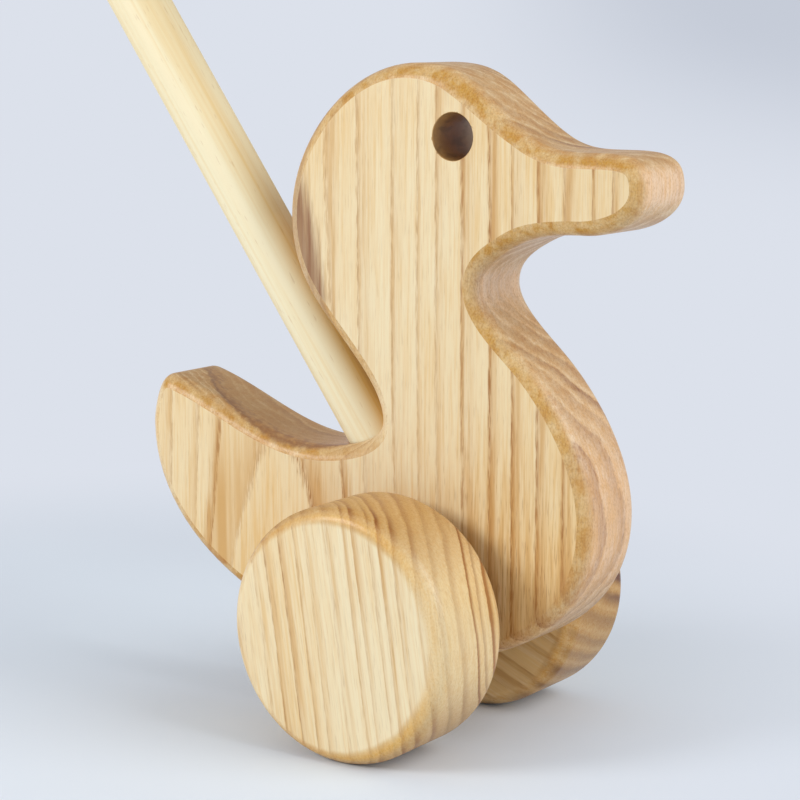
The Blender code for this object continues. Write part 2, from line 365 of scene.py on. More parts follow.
eye_end = HALF_BOARD + DRILL_OVERRUN
eye_flare = EYE_RADIUS + EYE_EASE
eye_bit = mirrored([
    (eye_flare, eye_end),
    (eye_flare, HALF_BOARD),
    (EYE_RADIUS + 0.3 * EYE_EASE, HALF_BOARD - 0.5 * EYE_EASE),
    (EYE_RADIUS, HALF_BOARD - 1.4 * EYE_EASE),
])
axle_bit = mirrored([(AXLE_RADIUS + AXLE_CLEARANCE, eye_end)])
socket_bit = [(STICK_RADIUS + GLUE_GAP, STICK_LENGTH), (STICK_RADIUS + GLUE_GAP, 0)]
eye_place = Matrix.Translation(AXLE + Vector((EYE_FORWARD, 0, EYE_HEIGHT)))
drill(duck, "eye_drill", eye_bit, eye_place @ across_board)
drill(duck, "axle_drill", axle_bit, Matrix.Translation(AXLE) @ across_board)
drill(duck, "socket_drill", socket_bit, Matrix.Translation(socket_bottom) @ along_stick)
smooth_with_creases(duck.data)

# %% [markdown]
# ## Wheels, washers and axle
# Each wheel is a thick disc with a blind hole at its back, so no axle end shows. Both its edges were
# rounded in the lathe and meet the face more softly than the router's round does. A washer keeps
# each wheel off the board. The wheels are turned around Z and then laid on their side, with their
# origin on the axle, so that they spin about it.

# %% Turn the wheelset
WHEEL_ROUND_DEPTH = 4.9 * MM
WHEEL_ROUND_INSET = 4.4 * MM
WHEEL_CREASE = math.radians(2)
WHEEL_BORE_DEPTH = 22 * MM
END_CHAMFER = 1 * MM
EASED = 0.3 * MM


def wheel_profile():
    """From the outer face over the rim to the blind hole inside. The axle's middle is at 0."""
    rim = round_over(WHEEL_ROUND_INSET, WHEEL_ROUND_DEPTH, WHEEL_CREASE)
    outer = [(WHEEL_RADIUS - inset, WHEEL_OUTER_FACE - drop) for inset, drop in rim]
    inner = [(WHEEL_RADIUS - inset, WHEEL_INNER_FACE + drop) for inset, drop in rim]
    bore = AXLE_RADIUS + GLUE_GAP
    hole_end = WHEEL_INNER_FACE + WHEEL_BORE_DEPTH
    hole = [(bore + EASED, WHEEL_INNER_FACE), (bore, WHEEL_INNER_FACE + EASED), (bore, hole_end)]
    return outer + inner[::-1] + hole


def eased_bar(radius, half_length):
    """Upper half of a round bar's profile, with a chamfer whose edges are eased."""
    return [
        (radius - END_CHAMFER - EASED, half_length),
        (radius - END_CHAMFER, half_length - 0.2 * EASED),
        (radius - 0.3 * EASED, half_length - END_CHAMFER),
        (radius, half_length - END_CHAMFER - EASED),
    ]


def laid_on_side(mesh, side):
    """Turn a piece from its own Z axis to the axle, its top facing out on that side."""
    mesh.transform(Matrix.Rotation(-side * math.pi / 2, 4, "X"))
    return mesh


on_axle = Matrix.Translation(AXLE)
wheels = {}
washers = {}
washer_bore = AXLE_RADIUS + AXLE_CLEARANCE
washer_radius = (washer_high.z - washer_low.z) / 2
washer_half = (washer_high.y - washer_low.y) / 2
washer_middle = (washer_high.y + washer_low.y) / 2
washer_profile = mirrored([(washer_bore, washer_half)] + eased_bar(washer_radius, washer_half))
for word, side in (("right", -1), ("left", 1)):
    wheels[word] = add_object(f"{word}_wheel_disc", turned("wheel", wheel_profile()), on_axle)
    laid_on_side(wheels[word].data, side)
    ring = turned("washer", washer_profile, hoop=True)
    ring.transform(Matrix.Translation((0, 0, washer_middle)))
    washers[word] = add_object(f"{word}_washer_ring", laid_on_side(ring, side), on_axle)
axle_bar = mirrored(eased_bar(AXLE_RADIUS, axle_high.y))
axle = add_object("axle_dowel", laid_on_side(turned("axle", axle_bar), 1), on_axle)
print("turned:", wheels["right"].name, washers["right"].name, axle.name)

# %% [markdown]
# ## Push stick and ball
# The stick is a plain dowel, glued into the slanted socket. Its top end sits in a ball that a
# child can hold and that keeps the end of the stick from being sharp.

# %% Turn the stick and the ball
KNOB_RADIUS = 20 * MM
KNOB_FLAT_RADIUS = 13 * MM
KNOB_BORE_DEPTH = 24 * MM
KNOB_TOP_ANGLE = 89.2
KNOB_RIM_EASE = 1.5
KNOB_STEPS = 48
DOWEL_STEPS = 96

stick_foot = socket_bottom + GLUE_GAP * stick_way
stick_middle = stick_foot + STICK_LENGTH / 2 * stick_way
knob_drop = math.sqrt(KNOB_RADIUS**2 - KNOB_FLAT_RADIUS**2)
knob_from_foot = STICK_LENGTH + GLUE_GAP - KNOB_BORE_DEPTH + knob_drop
knob_centre = stick_foot + knob_from_foot * stick_way


def knob_profile():
    """A ball from its crown down to a flat, then up the blind hole for the stick."""
    bore = STICK_RADIUS + GLUE_GAP
    hole_end = KNOB_BORE_DEPTH - knob_drop
    flat_angle = -math.degrees(math.asin(knob_drop / KNOB_RADIUS))
    ball = arc((0, 0), KNOB_RADIUS, KNOB_TOP_ANGLE, flat_angle + KNOB_RIM_EASE, KNOB_STEPS)
    rim = [(KNOB_FLAT_RADIUS - EASED, -knob_drop), (bore + EASED, -knob_drop)]
    return ball + rim + [(bore, -knob_drop + EASED), (bore, hole_end)]


stick_bar = mirrored(eased_bar(STICK_RADIUS, STICK_LENGTH / 2))
stick_mesh = turned("stick", stick_bar, DOWEL_STEPS)
knob_mesh = turned("knob", knob_profile(), DOWEL_STEPS)
for mesh in (stick_mesh, knob_mesh):
    mesh.transform(along_stick)
stick = add_object("push_dowel", stick_mesh, Matrix.Translation(stick_middle))
knob = add_object("ball_grip", knob_mesh, Matrix.Translation(knob_centre))
print(f"stick {STICK_LENGTH * 1000:.0f} mm, ball {2000 * KNOB_RADIUS:.0f} mm")

# %% [markdown]
# ## Shader sums as Python
# A finish is a net of nodes. Written out one by one they hide the idea, so a small class wraps a
# node's output and lets Python's own signs add Math nodes: `1 - mask` or `a * b + c`. Colours and
# vectors use Mix and Vector Math instead, because a Math node would turn a colour grey.

# %% Wrap a socket
SEED_SHIFT = (17.3, 9.1, 5.7)


class Wire:
    """One output of a node, ready for sums."""

    def __init__(self, tree, socket):
        self.tree = tree
        self.socket = socket

    def node(self, kind, settings=None, sockets=None, output=0):
        """Add a node: its settings first, then the values or links of its sockets."""
        made = self.tree.nodes.new(kind)
        for key, value in (settings or {}).items():
            if key == "points":
                set_curve(made, value)
            else:
                setattr(made, key, value)
        for key, value in (sockets or {}).items():
            if isinstance(value, Wire):
                self.tree.links.new(value.socket, made.inputs[key])
            else:
                made.inputs[key].default_value = value
        if isinstance(output, tuple):
            return [Wire(self.tree, made.outputs[name]) for name in output]
        return Wire(self.tree, made.outputs[output])

    def math(self, operation, *values):
        return self.node("ShaderNodeMath", {"operation": operation}, dict(enumerate(values)))

    def __add__(self, other):
        return self.math("ADD", self, other)

    __radd__ = __add__

    def __sub__(self, other):
        return self.math("SUBTRACT", self, other)

    def __rsub__(self, other):
        return self.math("SUBTRACT", other, self)

    def __mul__(self, other):
        return self.math("MULTIPLY", self, other)

    __rmul__ = __mul__

    def __truediv__(self, other):
        return self.math("DIVIDE", self, other)

    def __pow__(self, other):
        return self.math("POWER", self, other)

    def __neg__(self):
        return self.math("MULTIPLY", self, -1.0)

    def __abs__(self):
        return self.math("ABSOLUTE", self)

    def fraction(self):
        return self.math("FRACT", self)

    def exp(self):
        return self.math("EXPONENT", self)

    def rise(self, low, high):
        """0 below low, 1 above high, and a smooth step between."""
        return self.node(
            "ShaderNodeMapRange",
            {"interpolation_type": "SMOOTHSTEP"},
            {"Value": self, "From Min": low, "From Max": high},
        )

    def bell(self, middle, width):
        """1 at a middle, falling off to both sides like a bell."""
        off = (self - middle) / width
        return (-(off * off)).exp()

    def stretched(self, x, y, z):
        """A vector with its three parts scaled."""
        return self.node("ShaderNodeVectorMath", {"operation": "MULTIPLY"}, {0: self, 1: (x, y, z)})

    def turned_upright(self, lean):
        """A vector turned about Y, so that grain that leans from Z stands upright."""
        settings = {"rotation_type": "Y_AXIS"}
        return self.node("ShaderNodeVectorRotate", settings, {"Vector": self, "Angle": lean})

    def parts(self):
        return self.node("ShaderNodeSeparateXYZ", {}, {0: self}, output=("X", "Y", "Z"))

    def noise(self, scale, detail=2.0, seed=0.0):
        """Cloudy noise at this vector, from 0 to 1, another cloud for each seed."""
        apart = tuple(shift * seed / scale for shift in SEED_SHIFT)
        place = self.node("ShaderNodeVectorMath", {"operation": "ADD"}, {0: self, 1: apart})
        return place.node("ShaderNodeTexNoise", {}, {"Vector": place, "Scale": scale, "Detail": detail})

    def grained(self, shrink, scale, detail, seed):
        """Noise drawn out along the grain, because Z is shrunk."""
        return self.stretched(1, 1, shrink).noise(scale, detail, seed)

    def between(self, first, second):
        """A colour between two others: the first at 0, the second at 1."""
        settings = {"data_type": "RGBA"}
        return self.node("ShaderNodeMix", settings, {0: self, 6: first, 7: second}, output=2)

    def toned(self, colour, amount, blend="MIX"):
        """This colour mixed with another by an amount."""
        settings = {"data_type": "RGBA", "blend_type": blend}
        return self.node("ShaderNodeMix", settings, {0: amount, 6: self, 7: colour}, output=2)


def set_curve(node, points):
    """Give a Float Curve straight runs between points."""
    line = node.mapping.curves[0]
    for x, y in points[1:-1]:
        line.points.new(x, y)
    for handle, (x, y) in zip(line.points, points):
        handle.location = (x, y)
        handle.handle_type = "VECTOR"
    node.mapping.update()


print("nodes can now be written as sums")

# %% [markdown]
# ## A blank finish
# Colours are easiest to read as a screen shows them, but a shader works with linear light, so one
# helper turns the first into the second. The other starts a material and hands back the piece's
# own coordinates in millimetres, so that grain sticks to the wood when a wheel turns.

# %% Start a finish


def screen(red, green, blue):
    """A colour as a screen shows it, 0 to 255, as the linear colour that a shader works with."""
    parts = [c / 255 for c in (red, green, blue)]
    return tuple(c / 12.92 if c < 0.04045 else ((c + 0.055) / 1.055) ** 2.4 for c in parts) + (1.0,)


def new_finish(name, lean=0.0):
    """A material, its shader, and the piece's own place in mm and normal, with the grain along Z."""
    material = bpy.data.materials.new(name)
    material.use_nodes = True
    tree = material.node_tree
    shader = tree.nodes["Principled BSDF"]
    start = Wire(tree, None)
    place, normal = start.node("ShaderNodeTexCoord", output=("Object", "Normal"))
    place = place.stretched(1000, 1000, 1000)
    if lean:
        place, normal = place.turned_upright(lean), normal.turned_upright(lean)
    return material, shader, place, normal


def connect(shader, name, wire):
    wire.tree.links.new(wire.socket, shader.inputs[name])


def dented(shader, height, strength, depth):
    """Let a height from 0 to 1 roughen the surface, as deep as depth in metres."""
    sockets = {"Strength": strength, "Distance": depth, "Height": height}
    connect(shader, "Normal", height.node("ShaderNodeBump", {}, sockets, "Normal"))


print("cream is", [round(c, 2) for c in screen(243, 225, 187)[:3]])

# %% [markdown]
# ## Ash: a tree seen through a board
# Ash has clear growth rings: each year starts with a band of large dark pores and ends in dense
# pale wood. A board shows these rings as lines, and where it is cut nearly flat to them they make
# a pointed arch. All of that follows if the tree itself is modelled: rings around its heart, in
# the solid, and not a picture of lines on the surface. The edges then match the faces by themselves.

# %% Rings of a tree
RING_WANDER = 2.6
RING_FLUTTER = 0.8
RING_WOBBLE = 0.3
RING_DASHES = 0.35
EDGE_WANDER = 7.0
EDGE_RAGGED = 1.2


def follow(wire, points):
    """A value that runs straight from point to point. Both parts of each point are 0 to 1."""
    return wire.node("ShaderNodeFloatCurve", {"points": points}, {"Value": wire})


def find_year(radius, year_lines):
    """How far the year has gone at a radius, from 0 to 1, and how strongly that year shows."""
    first, last = year_lines[0][0], year_lines[-1][0]
    count = len(year_lines) - 1
    starts = [((r - first) / (last - first), i / count) for i, (r, _) in enumerate(year_lines)]
    strengths = [(i / count, strength) for i, (_, strength) in enumerate(year_lines)]
    years = count * follow((radius - first) / (last - first), starts)
    phase = years.fraction()
    return phase, follow((years - phase) / count, strengths)


class AshBlank:
    """A piece of ash: where each point lay in the tree, and which way the surface there faces."""

    def __init__(self, name, heart, year_lines, seed, lean=0.0, swell=None, unrest=1.0):
        self.name = name
        self.material, self.shader, self.place, normal = new_finish(name, lean)
        self.face(normal)
        self.grow(heart, year_lines, seed, swell, unrest)
        self.add_grain(seed)
        # How much oil the rounds hold, and between which slants to the flat face.
        self.round_oil = 1.0
        self.round_reach = (0.2, 0.88)
        # A line on an edge: when in the year it is darkest, when it ends, and what a weak year keeps of it.
        self.onset = 0.1
        self.fade = 0.85
        self.lasting = 0.1
        # How much a whole year differs from its neighbours in tone.
        self.bands = 0.0

    def face(self, normal):
        """Masks for flat faces, the edges between them, cut ends, and edges that face forward."""
        self.facing = normal.parts()
        self.flat = abs(self.facing[1])
        # A hair more than 1 keeps the spread above zero on a flat face.
        spread = (1.0001 - self.flat * self.flat) ** 0.5
        self.end = abs(self.facing[2] / spread).rise(0.25, 0.95)
        self.front = (self.facing[0] / spread).rise(-0.4, 0.6)
        self.away = 1 - self.flat.rise(0.2, 0.97)
        self.edge = 1 - self.flat.rise(0.976, 0.998)

    def grow(self, heart, year_lines, seed, swell, unrest):
        """Distance from the tree's heart, with the wandering of real rings, and the year there."""
        x, y, z = self.place.parts()
        out_x, out_y = x - heart[0], y - heart[1]
        self.bare_radius = (out_x * out_x + out_y * out_y) ** 0.5
        across = abs(out_x) / self.bare_radius
        even = self.bare_radius + swell(x, z) if swell else self.bare_radius
        wander = self.place.grained(0.25, 0.022, 1.0, seed) - 0.5
        flutter = self.place.grained(0.12, 0.16, 1.0, seed + 1) - 0.5
        wobble = self.place.grained(0.3, 0.32, 2.0, seed + 7) - 0.5
        flow = self.place.grained(0.5, 0.08, 2.0, seed + 6) - 0.5
        off = RING_WANDER * wander + RING_FLUTTER * flutter + RING_WOBBLE * wobble
        ragged = self.place.noise(0.9, 3.0, seed + 12) - 0.5
        loose = EDGE_WANDER * flow + EDGE_RAGGED * ragged
        self.grit = self.place.grained(0.1, 2.4, 2.0, seed + 8)
        off = off * across + RING_DASHES * (self.grit - 0.5)
        self.radius = even + off + unrest * self.away * loose
        self.phase, self.vigour = find_year(self.radius, year_lines)

    def add_grain(self, seed):
        """Clouds of several sizes, most of them drawn out along the grain."""
        self.fibre = self.place.grained(0.035, 1.3, 2.0, seed + 2)
        self.pore = self.place.grained(0.06, 2.6, 2.0, seed + 3).rise(0.54, 0.72)
        self.figure = self.place.grained(0.045, 0.75, 3.0, seed + 9).rise(0.4, 0.66)
        self.dust = self.place.noise(1.6, 3.0, seed + 11).rise(0.33, 0.67)
        self.pits = self.place.grained(0.5, 2.6, 2.0, seed + 15).rise(0.48, 0.68)
        self.blotch = self.place.noise(0.24, 2.0, seed + 14).rise(0.36, 0.64)
        self.scratch = self.place.grained(0.35, 1.2, 4.0, seed + 13).rise(0.5, 0.68)
        self.cloud = self.place.grained(0.3, 0.03, 1.0, seed + 4)
        self.streak = self.place.grained(0.02, 0.35, 1.0, seed + 5)


print("a tree can now be cut up")

# %% [markdown]
# ## Ash: growth lines, pores and flecks
# On a flat face each year starts with a thin brown line that fades to honey and then to cream. On
# a rounded edge the same line is cut at a slant, so there it is wide, soft and a little mauve, and
# weak years are lost. Pores are short dark dashes along the grain and crowd into the start of a
# year, and on an edge they are cut across and show as pits. A few tiny dark flecks, one here and
# there, keep the wood from looking printed.

# %% Ash colour
CREAM = screen(244, 225, 184)
HONEY = screen(233, 194, 131)
AMBER = screen(210, 163, 100)
UMBER = screen(170, 114, 56)
EDGE_BROWN = screen(156, 112, 82)
FLECK = screen(96, 66, 40)


def flecks(blank):
    """Sparse short dashes: the middle of a few cells of a pattern that is long along the grain."""
    cells = blank.place.stretched(0.07, 0.07, 0.035)
    sockets = {"Vector": cells, "Scale": 1.0}
    outputs = ("Distance", "Color")
    distance, tint = cells.node("ShaderNodeTexVoronoi", {"feature": "F1"}, sockets, outputs)
    chosen = tint.parts()[0].rise(0.72, 0.74)
    return chosen * (1 - distance.rise(0.02, 0.05))


def ash_colour(blank, line, halo, edge_tone, tone=0.0, edge_line=EDGE_BROWN):
    """The wood's own colour. Line and halo say how strongly a year shows on a face, edge tone how
    strongly on an edge, and tone how golden all of it is."""
    phase = blank.phase
    face = 1 - blank.edge
    onset = phase.rise(0.92, 1.0)
    start = (onset + 1 - phase.rise(0.0, 0.16)) * (0.2 + blank.grit.rise(0.35, 0.65))
    spring = onset + 1 - phase.rise(0.05, 0.6)
    ribbon = phase.rise(0.0, blank.onset) * (1 - phase.rise(blank.onset, blank.fade))
    broken = (0.5 + blank.streak.rise(0.3, 0.7)) * (0.4 + 1.1 * blank.vigour)
    kept = blank.lasting + (1 - blank.lasting) * blank.vigour.rise(0.5, 0.95)
    lost = kept * (0.5 + 0.7 * blank.cloud.rise(0.38, 0.62))
    swept = edge_tone * blank.edge * (0.3 + 0.7 * blank.away) * ribbon * lost

    grain = 0.3 * blank.fibre.rise(0.42, 0.66) + 0.28 * blank.cloud.rise(0.45, 0.8) + 0.2 * blank.grit
    grain = grain + (0.15 + 0.4 * tone) * blank.figure
    grain = grain + blank.edge * (0.12 * blank.dust + 0.2 * blank.blotch)
    grain = grain + blank.bands * (blank.vigour - 0.5)
    colour = (grain + tone * (1 - 0.7 * blank.edge) - 0.17).between(CREAM, HONEY)
    colour = colour.toned(AMBER, spring * face * broken * halo * (0.45 + 0.65 * blank.figure))
    colour = colour.toned(UMBER, start * broken * line * face)
    colour = colour.toned(edge_line, swept + blank.edge * blank.scratch * (0.07 + 0.5 * swept))
    colour = colour.toned(UMBER, blank.pore * (0.14 + 0.3 * spring * halo))
    colour = colour.toned(UMBER, 0.28 * blank.edge * blank.pits)
    return colour.toned(FLECK, 0.8 * flecks(blank))


print("year lines from", [round(c, 2) for c in UMBER[:3]], "to", [round(c, 2) for c in CREAM[:3]])

# %% [markdown]
# ## Ash: oil and shine
# Oil sinks into cut ends and rounded edges and turns them golden brown, while the flat faces stay
# pale, so the direction that a surface faces tells how dark it is. Rounds that face forward get more
# of the golden tint, partly from oil and partly as painted shade. The dense end of each year takes
# less oil, which draws thin pale lines over a cut end. Long grain at the sides takes a faint tint,
# which on the board is pink: partly the wood's colour and partly a painted sheen. Pores dent the
# surface and break up the satin shine.

# %% Oil the ash
GOLDEN_ROUND = (0.65, 0.41, 0.06, 1)
# The board's pink side tint is partly the wood's colour and partly a painted sheen.
SIDE_TINT_AND_SHEEN = (0.98, 0.87, 0.93, 1)
HONEY_SIDE = (0.96, 0.89, 0.76, 1)
YELLOW_ROUND = (0.82, 0.52, 0.02, 1)
WOOD_SHINE = {"IOR": 1.5, "Specular IOR Level": 0.35, "Coat Roughness": 0.22}
PORE_SHARPNESS = 0.3
PORE_DEPTH = 0.2 * MM


def oiled(blank, colour, end_tint, side_tint, round_tint, end_lines=0.35):
    """A colour tinted by what each surface took: oil on cut ends and rounds, partly painted shade on rounds
    that face forward, and a side tint on long grain, which on the board is partly a painted sheen.
    """
    side = blank.away * (1 - blank.end)
    # Rounds that face forward take more of the golden tint: partly oil, partly painted shade.
    turned_away = (0.1 + 0.5 * blank.front) * (1 - blank.end) + 0.8 * blank.end
    mottle = 0.5 + 0.3 * blank.cloud + 0.4 * blank.blotch + 0.2 * blank.dust
    pale_line = blank.phase.rise(0.6, 0.85) * (1 - blank.phase.rise(0.9, 1.0))
    end_oil = blank.end * (0.75 + 0.1 * blank.dust + 0.3 * blank.blotch - end_lines * pale_line)
    crease = blank.round_oil * blank.edge * blank.flat.rise(*blank.round_reach)
    colour = colour.toned(side_tint, side, "MULTIPLY")
    colour = colour.toned(round_tint, turned_away * mottle * crease, "MULTIPLY")
    return colour.toned(end_tint, end_oil * blank.edge * (1 - crease), "MULTIPLY")


def satin(blank, colour, dull=0.0):
    """Give the piece its colour and a satin shine that the pores break up, less where it is dull."""
    connect(blank.shader, "Base Color", colour)
    connect(blank.shader, "Roughness", 0.34 + 0.16 * blank.pore + 0.12 * blank.fibre + 0.4 * dull)
    connect(blank.shader, "Coat Weight", (0.1 + 0.2 * blank.fibre) * (1 - dull))
    dented(blank.shader, 1 - 0.7 * blank.pore - 0.25 * blank.fibre, PORE_SHARPNESS, PORE_DEPTH)
    for socket, value in WOOD_SHINE.items():
        blank.shader.inputs[socket].default_value = value
    print(blank.name, len(blank.material.node_tree.nodes), "nodes")
    return blank.material


print("oil tints the rounds", GOLDEN_ROUND[:3])

# %% [markdown]
# ## The board of the duck
# The growth lines of this board were read off its near face. Those on the tail and those on the
# neck are the same rings, seen on both sides of the arch, which puts the tree's heart behind the
# tail. The years are listed by their distance from that heart in mm, each with its strength. One
# year came out golden. The lower breast is golden and streaky, and hands have worn the oil off the
# edge there and at the foot of the stick. All places are in mm from the axle.

# %% Grow the board
BOARD_HEART = (-48, 77)
BOARD_YEARS = (
    (56, 0.5), (61, 0.3), (65.5, 0.7), (70, 0.3), (74, 0.8), (78.5, 0.3), (82, 0.5), (85.5, 0.3),
    (88.5, 0.6), (91, 0.2), (93.15, 0.6), (95.3, 0.8), (97.4, 0.6), (101.2, 0.6), (104.9, 0.6),
    (107.9, 0.65), (112.7, 0.7), (118.3, 1.0), (123.3, 0.5), (129, 0.65), (135, 0.7), (141.7, 0.65),
    (146.5, 0.4), (152, 0.3), (157, 0.5),
)
BUTT_SWELL = 3.2
BUTT_HEIGHT = 45
BUTT_WIDTH = 40


def butt_swell(x, z):
    """Rings of the trunk widen towards its foot, most of all under the arch."""
    return BUTT_SWELL * (1 - (z / -BUTT_HEIGHT).exp()) * x.bell(BOARD_HEART[0], BUTT_WIDTH)


board = AshBlank("board_ash", BOARD_HEART, BOARD_YEARS, 1.0, swell=butt_swell)
print("board of", len(BOARD_YEARS), "years, heart at", BOARD_HEART)

# %% Mark places on the board
board_x, board_y, board_z = board.place.parts()
foot = 1 - board_z.rise(-5, 65)
far_side = board_y.rise(-6, 12)
tail = 1 - board_x.rise(-75, -30)
breast = foot * board_x.rise(-5, 35)
breast_round = board_x.rise(15, 40) * (1 - board_z.rise(85, 105))
worn = board_x.rise(10, 30) * (1 - board_z.rise(-10, 30))
worn = worn + 0.8 * board_x.bell(-16, 9) * board_z.bell(50, 12)
board.edge = board.edge * (1 - 0.7 * worn)
board.lasting = 0.1 + 0.2 * breast_round
print("places marked,", len(board.material.node_tree.nodes), "nodes so far")

# %% Colour the board
GOLDEN_YEAR = (93.15, 95.3)
GOLDEN_WOOD = screen(215, 169, 103)


def golden_year(board, reach):
    """The year that came out golden, as strong as its reach says, with streaks in it."""
    start, end = GOLDEN_YEAR
    begun = board.radius.rise(start - 0.05, start + 0.2)
    over = board.radius.rise(end - 0.2, end + 0.5)
    streaks = 0.4 + board.streak.rise(0.3, 0.7)
    return begun * (1 - over) * reach * streaks * (1 - 0.5 * board_x.rise(-60, -35))


golden_reach = 0.06 + 0.7 * (1 - board_z.rise(20, 60))
golden_edges = board.radius.bell(95.4, 0.9) + board.radius.bell(93.5, 0.7) * board_x.rise(-60, -40)
line_depth = 0.24 + 0.26 * board.radius.rise(106, 118) + 1.2 * golden_reach * golden_edges
line_depth = line_depth + 0.3 * breast + 0.4 * far_side
arch = 1 - board.radius.rise(92.4, 93.4)
# The board grows more golden towards its foot: partly the wood's tone, partly painted shade near the floor.
board_tone = 0.12 + 0.1 * foot + 0.34 * breast + 0.18 * board_x.rise(8, 30) + 0.1 * board_x.rise(40, 70)
board_tone = board_tone + 0.15 * tail + 0.2 * arch + 0.15 * board_z.rise(110, 155)
edge_lines = 0.5 + 0.05 * breast_round
board_colour = ash_colour(board, line_depth, 1.2 * line_depth, edge_lines, board_tone)
streaky = breast * (1 - board.edge)
# Pores on the lower breast, plus painted shade that darkens it towards the bottom of the board.
pores_and_low_shade = 0.65 * board.pore + 0.36 * (1 - board_z.rise(-12, 40))
board_colour = board_colour.toned(AMBER, 0.6 * streaky * board.figure)
board_colour = board_colour.toned(UMBER, 0.35 * streaky * board.fibre.rise(0.5, 0.66))
board_colour = board_colour.toned(UMBER, streaky * pores_and_low_shade)
board_colour = board_colour.toned(GOLDEN_WOOD, golden_year(board, golden_reach))
print("one golden year,", GOLDEN_YEAR, "mm from the heart")

# %% [markdown]
# ## Heartwood
# The middle of the tree is brown. It just reaches the near face at the nape, lies along the top of
# the tail and takes up most of the far face. Its border leans at the nape, where the board is cut
# nearly along the rings, and drifts freely on the far face. Deeper in the brown turns to tan and
# the growth lines show through. Heartwood takes hardly any oil, so it is laid over the oiled colour.

# %% Add the heartwood
HEART_BORDER = screen(128, 82, 54)
HEART_BROWN = screen(154, 106, 66)
HEART_TAN = screen(190, 142, 84)
HEART_RADIUS = 90.2
HEART_COVER = 0.9
BOARD_END = (0.72, 0.53, 0.33, 1)


def heartwood(board):
    """How brown the wood is, and its colour. The brown reaches least far out at the tail's end."""
    streaks = board.place.grained(0.06, 0.5, 3.0, 31.0).rise(0.25, 0.75)
    nape = board_z.rise(62, 92)
    tail_end = 1 - board_x.rise(-92, -74)
    reach = HEART_RADIUS + 2.85 * nape - 1.6 * board_z.rise(85, 140) - 5.0 * tail_end
    ragged = (0.8 - 0.55 * nape) * (streaks - 0.5) + 0.4 * nape * (board.grit - 0.5)
    drift = board.place.grained(0.3, 0.045, 2.0, 33.0) - 0.5
    depth = reach + ragged - board.bare_radius
    depth = depth + far_side * (16 * drift + 2.5 * (streaks - 0.5))
    inner = (depth + 6 * streaks).rise(3, 10) * (1 - board_z.rise(60, 85) * (1 - 0.8 * far_side))
    colour = inner.between(HEART_BROWN, HEART_TAN)
    colour = colour.toned(HEART_BORDER, (0.75 - 0.35 * nape) * depth.bell(0.9, 1.0))
    soft = (depth / (1 - 0.55 * nape + far_side)).rise(-0.6, 1.5)
    back = board.edge * nape
    return soft * (0.8 + 0.3 * streaks - 0.25 * inner - 0.5 * back - 0.22 * far_side), colour


brown, heart_colour = heartwood(board)
board_colour = oiled(board, board_colour, BOARD_END, SIDE_TINT_AND_SHEEN, GOLDEN_ROUND)
board_colour = board_colour.toned(heart_colour, HEART_COVER * brown)
print("heartwood reaches", HEART_RADIUS, "mm from the heart")

# %% [markdown]
# ## The wall of the eye
# The drill burnished the wall of the eye, scorched it in patches, left faint rings in it and chipped
# its rim. Shade is painted on the wall, darkest in the middle of the board, and its far half is
# painted paler, as painted light through the far opening. The wall lies at a known distance from
# the eye's axis, so that distance tells where the dark belongs.

# %% Burnish the eye
BURNISHED = screen(190, 146, 88)
PAINTED_WALL_SHADE = screen(160, 104, 48)
PAINTED_WALL_LIGHT = screen(224, 200, 172)
SCORCHED = screen(84, 56, 34)
WALL_END = (1000 * EYE_RADIUS + 0.04, 1000 * eye_flare)


def eye_wall(board):
    """Where the wall of the eye is, and its colour: painted shade, darkest in the middle of the board, and
    painted light on the far half.
    """
    out_x, out_z = board_x - 1000 * EYE_FORWARD, board_z - 1000 * EYE_HEIGHT
    distance = (out_x * out_x + out_z * out_z) ** 0.5
    drill_marks = board.place.stretched(0, 1, 0).noise(1.1, 1.0, 37.0)
    # Painted shade, deepest in the middle of the board; the next line adds painted light on the wall's far
    # half.
    deep = 1 - abs(board_y).rise(3, 13) + 0.6 * (drill_marks - 0.5)
    colour = deep.between(BURNISHED, PAINTED_WALL_SHADE).toned(PAINTED_WALL_LIGHT, board_y.rise(-2, 8))
    patches = board.place.stretched(1, 0.5, 1).noise(0.3, 2.0, 38.0).rise(0.42, 0.66)
    colour = colour.toned(SCORCHED, 0.45 * patches)
    chips = board.place.noise(0.7, 2.0, 39.0).rise(0.56, 0.76)
    return 0.95 * (1 - (distance - 0.5 * chips).rise(*WALL_END)), colour


wall, wall_colour = eye_wall(board)
board_ash = satin(board, board_colour.toned(wall_colour, wall), 0.1 * wall)

# %% [markdown]
# ## Wheels and ball from other boards
# Each wheel is cut from its own piece of ash. The rings cross its thickness at a slant, so the
# lines on its face run on over the rim. Their widths and strengths are drawn at random with a
# fixed seed, because no two years are alike and each run has to give the same wood.
# Oil sinks into the rim and stops at an uneven line on the face. The near wheel is honey-coloured
# on one side and paler on the other, and the ball is worn dull by hands.

# %% Draw years at random


def random_years(first, last, thinnest, widest, weakest, seed):
    """Year lines from first to last, as far apart and as strong as chance gives."""
    years = random.Random(seed)
    lines = []
    radius = first
    while radius < last:
        lines.append((radius, years.uniform(weakest, 1.0)))
        radius += years.uniform(thinnest, widest)
    return lines


near_years = random_years(115, 205, 2.0, 5.6, 0.2, 3)
far_years = random_years(88, 186, 4.0, 9.0, 0.5, 8)
ball_years = random_years(12, 66, 2.0, 4.2, 0.1, 5)
print("years:", len(near_years), "near wheel,", len(far_years), "far wheel,", len(ball_years), "ball")

# %% Wheel and ball finish
WHEEL_END = (0.64, 0.45, 0.21, 1)
RIM_LINE = screen(176, 126, 76)
FAR_RIM_LINE = screen(130, 88, 60)
RIM_OIL = (31.8, 34.8)
WHEEL_UNREST = 0.25
END_LINES = 0.12
BALL_DULL = 0.7


